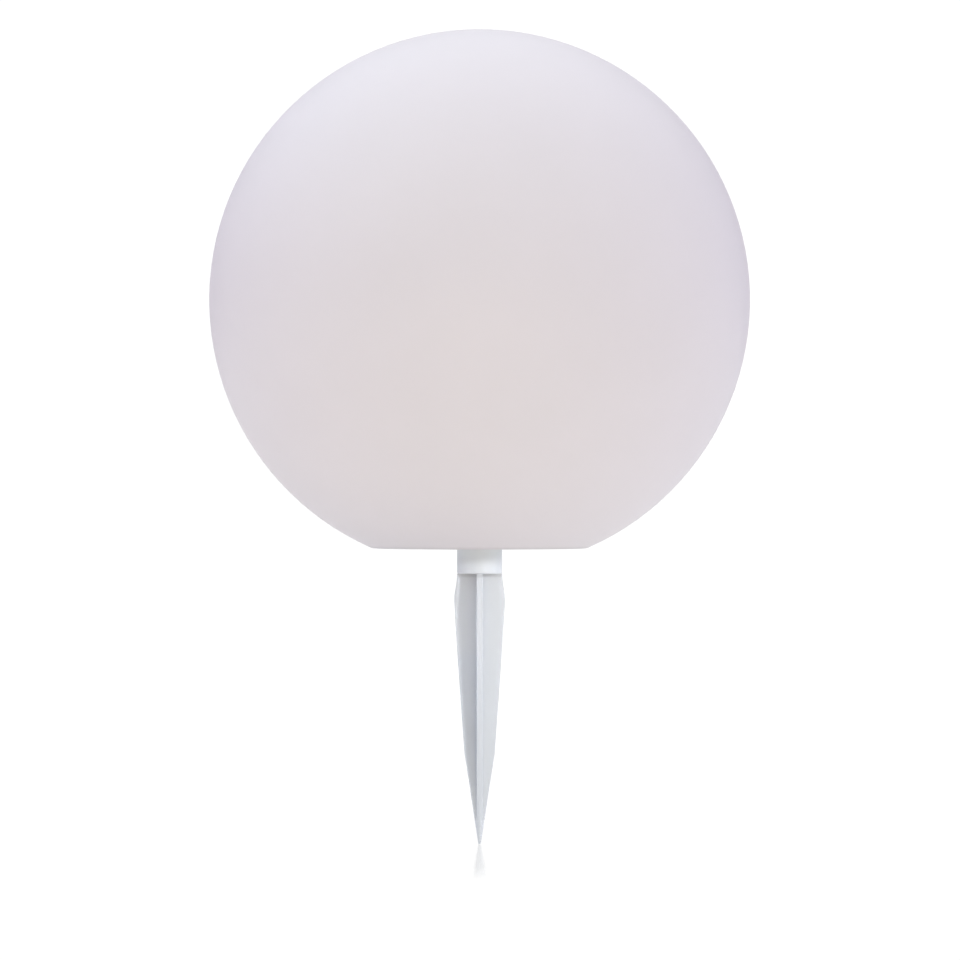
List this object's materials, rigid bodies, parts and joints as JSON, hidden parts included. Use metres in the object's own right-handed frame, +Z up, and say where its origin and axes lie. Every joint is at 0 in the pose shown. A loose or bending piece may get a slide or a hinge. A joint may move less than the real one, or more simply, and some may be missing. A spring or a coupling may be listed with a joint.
{
  "type": "ball light on a ground spike",
  "caption": "Translucent ball garden light with a flat underside, a sealed solar lamp base and a ribbed ground spike that plugs in from below.",
  "frame": {"origin": "on the axis, at the centre of the ball's flat underside", "axes": "+Z up along the axis from the spike to the top of the ball, -Y towards the side in the picture"},
  "size_m": [0.3, 0.2998, 0.4517],
  "materials": {
    "frosted_polyethylene": "translucent, softly diffusing, fine satin",
    "white_plastic": "fine satin",
    "grey_rubber": "soft matte",
    "stainless_steel": "satin",
    "battery_wrap": "shrink wrap, glossy",
    "nickelled_steel": "bright satin",
    "green_laminate": "semi-gloss varnish",
    "black_component": "fine matte",
    "ivory_plastic": "satin",
    "red_plastic": "satin",
    "grey_plastic": "soft satin",
    "solar_silicon": "deep blue crystalline sheen",
    "clear_plastic": "clear, glossy",
    "lamp_phosphor": "glossy, gives off warm white light",
    "clear_lens": "clear, glossy",
    "red_insulation": "satin",
    "black_insulation": "satin",
    "spike_plastic": "satin"
  },
  "bodies": {
    "spike": {"ground_spike": "spike_plastic"},
    "lamp_base": {"base_housing": "white_plastic", "globe_seal": "grey_rubber", "base_screws": "stainless_steel", "battery_spring_contact": "nickelled_steel", "battery_plate_contact": "nickelled_steel", "control_board": "green_laminate", "control_parts": "black_component", "wire_connectors": "ivory_plastic", "board_screws": "stainless_steel", "push_switch": "black_component", "switch_seal": "grey_rubber", "module_cover": "white_plastic", "cover_seal": "grey_rubber", "cover_screws": "stainless_steel", "panel_board": "green_laminate", "solar_strips": "solar_silicon", "panel_window": "clear_plastic", "lamp_board": "green_laminate", "lamp_chips": "lamp_phosphor", "lamp_lenses": "clear_lens", "red_wires": "red_insulation", "black_wires": "black_insulation"},
    "ball": {"globe": "frosted_polyethylene"},
    "door": {"battery_door": "white_plastic", "battery_door_seal": "grey_rubber", "battery_door_screws": "stainless_steel"},
    "battery": {"battery_cell": "battery_wrap"},
    "button": {"switch_button": "grey_plastic", "switch_plunger": "red_plastic"}
  },
  "joints": [
    {"name": "lamp_lift", "type": "slide", "parent": "spike", "child": "lamp_base", "axis": [0, 0, 1], "range_m": [0, 0.04]},
    {"name": "ball_lift", "type": "slide", "parent": "lamp_base", "child": "ball", "axis": [0, 0, 1], "range_m": [0, 0.06]},
    {"name": "door_drop", "type": "slide", "parent": "lamp_base", "child": "door", "axis": [0, 0, -1], "range_m": [0, 0.025]},
    {"name": "battery_drop", "type": "slide", "parent": "lamp_base", "child": "battery", "axis": [0, 0, -1], "range_m": [0, 0.025]},
    {"name": "button_press", "type": "slide", "parent": "lamp_base", "child": "button", "axis": [0, 0, 1], "range_m": [0, 0.0015], "stiffness_N_per_m": 600, "springref_m": -0.002}
  ],
  "couplings": [
    {"joint": "battery_drop", "follows": "door_drop", "ratio": 1}
  ]
}
